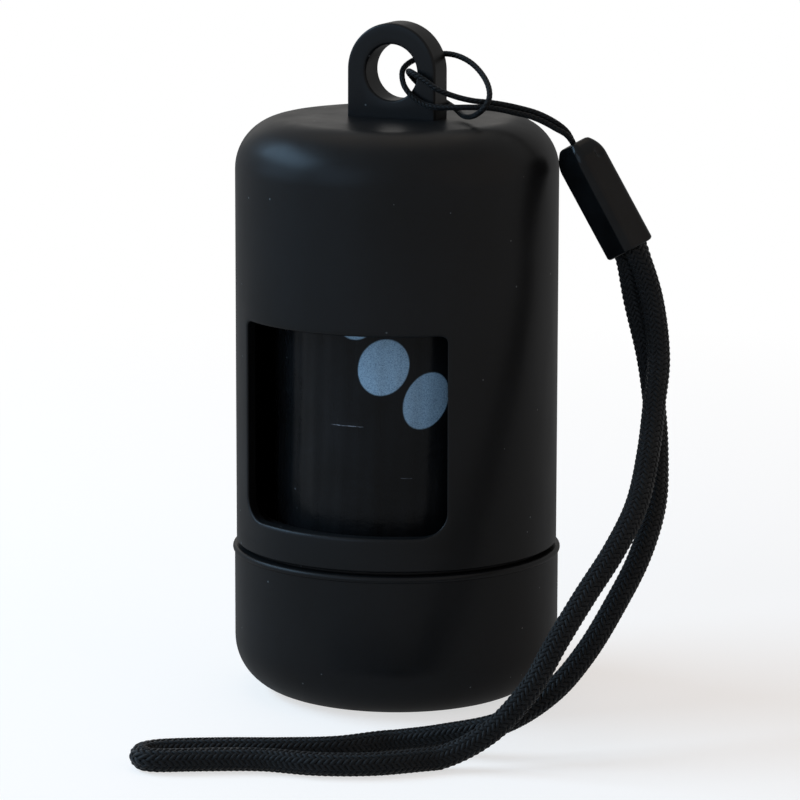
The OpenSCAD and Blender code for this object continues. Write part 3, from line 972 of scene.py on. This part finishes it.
# Ink of the paws, from its dark grain to its pale grain, and the colour of the painted highlight
# along a crease
INK_DARK = (0.19, 0.265, 0.325, 1)
INK_PALE = (0.33, 0.43, 0.51, 1)
CREASE_HIGHLIGHT_PAINT = (0.42, 0.40, 0.42, 1)


def dust_specks(n, place, scale, size, share):
    """1 on small specks, which lie in this share of the cells of a cellular pattern."""
    cell = n.add("TexVoronoi", {"Vector": place, "Scale": scale}, feature="F1")
    here = n.math("LESS_THAN", cell.outputs["Distance"], size)
    pick = n.add("SeparateColor", {"Color": cell.outputs["Color"]}).outputs[0]
    return n.math("MULTIPLY", here, n.math("GREATER_THAN", pick, 1 - share))


def soft_touch(name, color, pale, roughness):
    """Rubbery black moulding: fine grain, slight handling marks and a few dust specks."""
    n = Nodes(name)
    place = n.coords.outputs["Object"]
    cloud = n.noise(place, 60, 3)
    smear = n.noise(n.stretched(place, 220, 220, 60), 1, 4, 0.6)
    dust = dust_specks(n, place, 330, 0.042, 0.7)
    tone = n.mix(n.ramp(cloud, 0.3, 0.7), color, pale)
    dusted = n.mix(n.math("MULTIPLY", dust, 0.25), tone, DUST)
    rough = n.ramp(smear, 0.25, 0.75, roughness - 0.05, roughness + 0.06)
    grain = n.noise(place, 5200, 2, 0.7)
    waves = n.noise(place, 90, 2)
    normal = n.bump(grain, 0.00003, 0.5, n.bump(waves, 0.00015, 0.25))
    return n.set(
        color=dusted, roughness=rough, normal=normal, specular=0.0,
        coat=SATIN, coat_roughness=n.math("SUBTRACT", rough, 0.07),
    )


def gloss_plastic(name, color, roughness):
    """Smooth black moulding with fine scuffs."""
    n = Nodes(name)
    place = n.coords.outputs["Object"]
    cloud = n.noise(place, 160, 3)
    scuff = n.noise(n.stretched(place, 900, 900, 300), 1, 4, 0.6)
    tone = n.mix(n.ramp(cloud, 0.3, 0.7), color, tuple(2.2 * c for c in color[:3]) + (1,))
    rough = n.ramp(scuff, 0.3, 0.75, roughness - 0.06, roughness + 0.12)
    normal = n.bump(n.noise(place, 420, 2), 0.00004, 0.15)
    return n.set(
        color=tone, roughness=rough, normal=normal, specular=0.0,
        coat=GLOSS, coat_roughness=n.math("SUBTRACT", rough, 0.1),
    )


def yarn(name, color, pale, scale):
    """Black yarn: fine filaments with a dull sheen."""
    n = Nodes(name)
    place = n.coords.outputs["Object"]
    fibre = n.noise(n.stretched(place, scale, scale, scale), 1, 4, 0.7)
    patch = n.noise(place, 260, 2)
    tone = n.mix(n.ramp(fibre, 0.35, 0.75), color, pale)
    rough = n.ramp(patch, 0.3, 0.7, 0.5, 0.68)
    normal = n.bump(fibre, 0.00006, 0.6)
    return n.set(
        color=tone, roughness=rough, normal=normal, specular=0.07,
        sheen=0.03, sheen_roughness=0.4,
    )


# One paw of the print, in its own frame, with the toes up: x, y, half width, half height, lean
PAW = [
    (-10.4, 6.6, 2.8, 3.8, 20), (-3.5, 10.1, 2.75, 3.8, 13), (3.5, 10.1, 3.15, 3.7, 14),
    (10.4, 6.6, 2.9, 3.7, 14), (0, -3.6, 5.2, 4.1, 0), (-3.3, -5.6, 3.2, 2.9, 20),
    (3.3, -5.6, 3.2, 2.9, -20),
]
# Run and height of one paw's middle, its turn, and the pattern's steps along and up
PAW_AT = (14.1, 51.1)
PAW_TURN = 141.4
PRINT_PERIOD = 49.95
PRINT_ROW = 40.0
# Creases with a painted highlight along them: run round the roll, height, half length, half width,
# share
PAINTED_CREASE_HIGHLIGHTS = [(0.2, 37.6, 2.4, 0.055, 0.6), (8.0, 31.0, 0.8, 0.05, 0.25)]


def unrolled_place(n):
    """Run round the roll and height of a point on the film, in mm."""
    split = n.add("SeparateXYZ", {"Vector": n.coords.outputs["Object"]}).outputs
    back = n.math("MULTIPLY", split[1], -1.0)
    run = n.math("MULTIPLY", n.math("ARCTAN2", split[0], back), FILM_R + FILM_THICK)
    return run, n.math("DIVIDE", split[2], MM)


def crease_highlight_mask(n, at, height, length, width, share):
    """How strong a crease's painted highlight is: a thin broken line along the run, fading at its
    two ends.
    """
    run, up = unrolled_place(n)
    across = n.math("ABSOLUTE", n.math("SUBTRACT", up, height))
    along = n.math("ABSOLUTE", n.math("SUBTRACT", run, at))
    thin = n.ramp(across, width, 0.3 * width)
    whole = n.ramp(along, length, 0.75 * length)
    broken = n.ramp(n.noise(n.coords.outputs["Object"], 1400, 2), 0.35, 0.6, 0.35, 1.0)
    return n.math("MULTIPLY", n.math("MULTIPLY", thin, whole), n.math("MULTIPLY", broken, share))


def paw_mask(n):
    """1 inside the printed paws, 0 elsewhere, worked out on the unrolled film in mm."""
    run, height = unrolled_place(n)
    v = n.math("SUBTRACT", height, PAW_AT[1])
    row = n.math("ROUND", n.math("DIVIDE", v, PRINT_ROW))
    v = n.math("SUBTRACT", v, n.math("MULTIPLY", row, PRINT_ROW))
    u = n.math("SUBTRACT", run, PAW_AT[0])
    u = n.math("ADD", u, n.math("MULTIPLY", row, PRINT_PERIOD / 2))
    turn = n.math("ROUND", n.math("DIVIDE", u, PRINT_PERIOD))
    u = n.math("SUBTRACT", u, n.math("MULTIPLY", turn, PRINT_PERIOD))
    flat = n.add("CombineXYZ", {"X": u, "Y": v}).outputs[0]
    local = n.rotated(flat, -math.radians(PAW_TURN))
    mask = None
    for x, y, wide, tall, lean in PAW:
        moved = n.add("VectorMath", {0: local, 1: (-x, -y, 0)}, operation="ADD").outputs[0]
        leant = n.rotated(moved, -math.radians(lean))
        shares = {0: leant, 1: (1 / wide, 1 / tall, 0)}
        scaled = n.add("VectorMath", shares, operation="MULTIPLY").outputs[0]
        reach = n.add("VectorMath", {0: scaled}, operation="LENGTH").outputs["Value"]
        inside = n.ramp(reach, 1.03, 0.98)
        mask = inside if mask is None else n.math("MAXIMUM", mask, inside)
    return mask


def film(name, printed):
    """Thin glossy film; the printed one has pale speckled paws and painted highlights along
    creases.
    """
    n = Nodes(name)
    place = n.coords.outputs["Object"]
    streak = n.noise(n.stretched(place, 500, 500, 60), 1, 4, 0.6)
    cloud = n.noise(place, 120, 3)
    tone = n.mix(n.ramp(cloud, 0.3, 0.7), (0.004, 0.004, 0.004, 1), (0.007, 0.007, 0.0075, 1))
    rough = n.ramp(streak, 0.25, 0.75, 0.22, 0.36)
    if printed:
        mask = paw_mask(n)
        grain = n.noise(place, 6400, 2, 0.75)
        ink = n.mix(n.ramp(grain, 0.35, 0.65), INK_DARK, INK_PALE)
        cover = n.ramp(grain, 0.28, 0.42, 0.6, 1.0)
        tone = n.mix(n.math("MULTIPLY", mask, cover), tone, ink)
        rough = n.math("ADD", rough, n.math("MULTIPLY", mask, 0.2))
        # Painted highlights: pale lines along two creases, in place of the light that they catch
        for painted_highlight in PAINTED_CREASE_HIGHLIGHTS:
            tone = n.mix(crease_highlight_mask(n, *painted_highlight), tone, CREASE_HIGHLIGHT_PAINT)
    specks = n.math("MULTIPLY", dust_specks(n, place, 520, 0.06, 0.25), 0.16)
    tone = n.mix(specks, tone, FILM_DUST)
    wrinkle = n.noise(n.stretched(place, 260, 260, 110), 1, 3, 0.55)
    crumple = n.noise(n.rotated(n.stretched(place, 420, 420, 900), 0.5), 1, 4, 0.65)
    normal = n.bump(streak, 0.00004, 0.4)
    normal = n.bump(crumple, 0.00016, 0.35, normal)
    normal = n.bump(wrinkle, 0.0002, 0.4, normal)
    return n.set(color=tone, roughness=rough, normal=normal, specular=0.07)


def card(name):
    """Plain wound card, with its fibres round the core."""
    n = Nodes(name)
    place = n.coords.outputs["Object"]
    fibre = n.noise(n.stretched(place, 900, 900, 2200), 1, 5, 0.7)
    tone = n.mix(n.ramp(fibre, 0.3, 0.7), (0.27, 0.19, 0.115, 1), (0.42, 0.32, 0.21, 1))
    normal = n.bump(fibre, 0.00008, 0.6)
    return n.set(color=tone, roughness=0.85, normal=normal, specular=0.2)


# ---- Floor, backdrop and lights ----

def seen_by_camera(tree):
    """1 for rays that show the backdrop: from the camera, off gloss or through glass."""
    rays = tree.nodes.new("ShaderNodeLightPath").outputs
    total = None
    for kind in ("Is Camera Ray", "Is Glossy Ray", "Is Transmission Ray"):
        if total is None:
            total = rays[kind]
            continue
        both = tree.nodes.new("ShaderNodeMath")
        both.operation = "MAXIMUM"
        tree.links.new(total, both.inputs[0])
        tree.links.new(rays[kind], both.inputs[1])
        total = both.outputs[0]
    return total


# The floor as it lights the object, and as it is seen: warm against the blue lamps, with
# the lift to the backdrop's white
FLOOR_COLOR = (0.80, 0.80, 0.80, 1)
SEEN_FLOOR_COLOR = (0.50, 0.42, 0.365, 1)
SEEN_FLOOR_LIFT = 0.64
WHITE = (1, 1, 1, 1)
FLOOR_HALF = 1.6
# Distances from the object at which its shadow starts to fade, and where all is white
SHADOW_REACH = 0.08
WHITE_FROM = 0.28
WORLD_COLOR = (0.95, 0.96, 1.0, 1)
WORLD_STRENGTH = 0.14
# A wide window to the left, soft light above and behind, and a warm lamp at the right: name,
# place, width and height in metres, watts, colour
LAMPS = [
    ("window_high", (-0.56, -0.15, 0.44), 0.62, 0.26, 6.0, (0.42, 0.70, 1.0)),
    ("window_low", (-0.63, -0.28, 0.165), 0.50, 0.20, 0.9, (0.42, 0.68, 1.0)),
    ("window_front", (-0.20, -0.62, 0.26), 0.40, 0.40, 1.1, (0.42, 0.68, 1.0)),
    ("overhead", (-0.15, 0.25, 0.78), 0.6, 0.6, 0.9, (1.0, 0.80, 0.58)),
    ("behind", (-0.42, 0.62, 0.26), 0.4, 0.3, 0.4, (1.0, 0.95, 0.88)),
    ("warm_right", (0.60, -0.05, 0.30), 0.8, 0.6, 0.38, (1.0, 0.60, 0.34)),
]
LAMPS_AIM = (0, 0, 0.045)


def make_stage():
    """A pale floor, lifted to the backdrop's white where rays show it, with its shadow."""
    n = Nodes("floor")
    n.tree.nodes.remove(n.shader)
    matt = n.add("BsdfDiffuse", {"Color": FLOOR_COLOR})
    shaded = n.add("BsdfDiffuse", {"Color": SEEN_FLOOR_COLOR})
    lift = n.add("Emission", {"Color": WHITE, "Strength": SEEN_FLOOR_LIFT})
    near = n.add("AddShader", {0: shaded.outputs[0], 1: lift.outputs[0]})
    far = n.add("Emission", {"Color": WHITE, "Strength": 1.0})
    away = n.add("VectorMath", {0: n.coords.outputs["Object"]}, operation="LENGTH").outputs["Value"]
    share = n.ramp(away, SHADOW_REACH, WHITE_FROM)
    seen = n.add("MixShader", {0: share, 1: near.outputs[0], 2: far.outputs[0]})
    mix = n.add("MixShader", {0: seen_by_camera(n.tree), 1: matt.outputs[0], 2: seen.outputs[0]})
    n.put(n.tree.nodes["Material Output"].inputs["Surface"], mix.outputs[0])
    corners = [(x * FLOOR_HALF, y * FLOOR_HALF, 0) for x, y in ((-1, -1), (1, -1), (1, 1), (-1, 1))]
    mesh = bpy.data.meshes.new("floor")
    mesh.from_pydata(corners, [], [(0, 1, 2, 3)])
    mesh.materials.append(n.material)
    floor = bpy.data.objects.new("floor", mesh)
    bpy.context.scene.collection.objects.link(floor)


def make_world():
    """A dim even light, which is seen as white wherever rays show it."""
    world = bpy.data.worlds.new("studio")
    bpy.context.scene.world = world
    world.use_nodes = True
    tree = world.node_tree
    light = tree.nodes["Background"]
    light.inputs["Color"].default_value = WORLD_COLOR
    light.inputs["Strength"].default_value = WORLD_STRENGTH
    white = tree.nodes.new("ShaderNodeBackground")
    white.inputs["Color"].default_value = WHITE
    mix = tree.nodes.new("ShaderNodeMixShader")
    tree.links.new(seen_by_camera(tree), mix.inputs[0])
    tree.links.new(light.outputs[0], mix.inputs[1])
    tree.links.new(white.outputs[0], mix.inputs[2])
    tree.links.new(mix.outputs[0], tree.nodes["World Output"].inputs["Surface"])


def add_light(name, place, wide, tall, power, color):
    """A soft rectangular lamp that faces the object."""
    data = bpy.data.lights.new(name, "AREA")
    data.shape = "RECTANGLE"
    data.size = wide
    data.size_y = tall
    data.energy = power
    data.color = color
    light = bpy.data.objects.new(name, data)
    light.location = place
    aim = Vector(LAMPS_AIM) - Vector(place)
    light.rotation_euler = aim.to_track_quat("-Z", "Y").to_euler()
    bpy.context.scene.collection.objects.link(light)


set_camera()
make_stage()
make_world()
for lamp in LAMPS:
    add_light(*lamp)

braid_yarn = yarn("braid_yarn", (0.004, 0.004, 0.004, 1), (0.016, 0.016, 0.016, 1), 3800)
cord_yarn = yarn("cord_yarn", (0.003, 0.003, 0.003, 1), (0.012, 0.012, 0.012, 1), 5200)
braided_cord(
    "braided_loop", loop_route(), radius=LOOP_R, pitch=9.0, carriers=24, step=0.16,
    grip=LOOP_GRIP, material=braid_yarn, replaced="wrist_loop",
)
ferrule = make_ferrule(gloss_plastic("ferrule_black", (0.004, 0.004, 0.004, 1), 0.22))
braided_cord(
    "hitched_cord", hitch_route(), radius=CORD_D / 2, pitch=2.4, carriers=8, step=0.1,
    grip=(1, 1), material=cord_yarn, replaced="hitch_cord",
)
make_tube(soft_touch("shell_black", (0.0046, 0.0046, 0.0046, 1), (0.0074, 0.0074, 0.0077, 1), 0.41))
make_cap(soft_touch("cap_black", (0.0042, 0.0042, 0.0042, 1), (0.0066, 0.0066, 0.0069, 1), 0.41))
make_film(film("printed_film", True))
make_roll(film("wound_film", False))
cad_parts["roll_core"].data.materials.clear()
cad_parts["roll_core"].data.materials.append(card("core_card"))

bpy.context.scene.view_settings.view_transform = "Standard"
